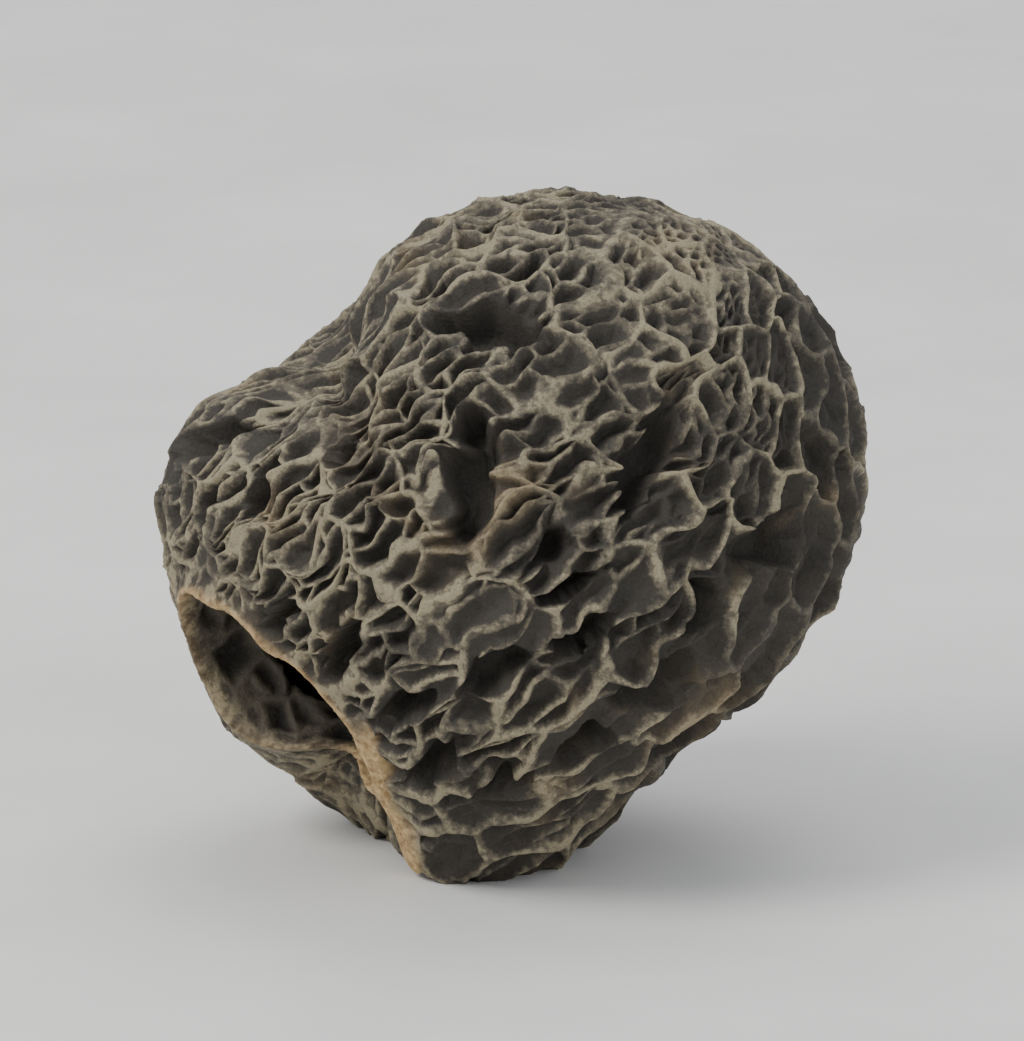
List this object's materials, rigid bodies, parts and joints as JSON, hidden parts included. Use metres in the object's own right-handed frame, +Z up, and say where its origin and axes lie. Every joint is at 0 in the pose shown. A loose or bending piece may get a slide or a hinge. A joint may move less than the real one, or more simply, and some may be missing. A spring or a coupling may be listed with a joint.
{
  "type": "morel mushroom",
  "caption": "Dried morel mushroom: a hollow, lumpy cap covered in a honeycomb of thin ridges and deep pits, its stem cut off flush, lying on its side.",
  "frame": {"origin": "on the surface that the morel lies on, below the middle of its box", "axes": "+Z up; +X level along the longest side, from the cut stem at the lower left towards the tip; the side seen in the reference view faces -Y"},
  "size_m": [0.0348, 0.0288, 0.0333],
  "materials": {
    "dried_flesh": "matte"
  },
  "bodies": {
    "root": {"morel": "dried_flesh"}
  },
  "joints": []
}
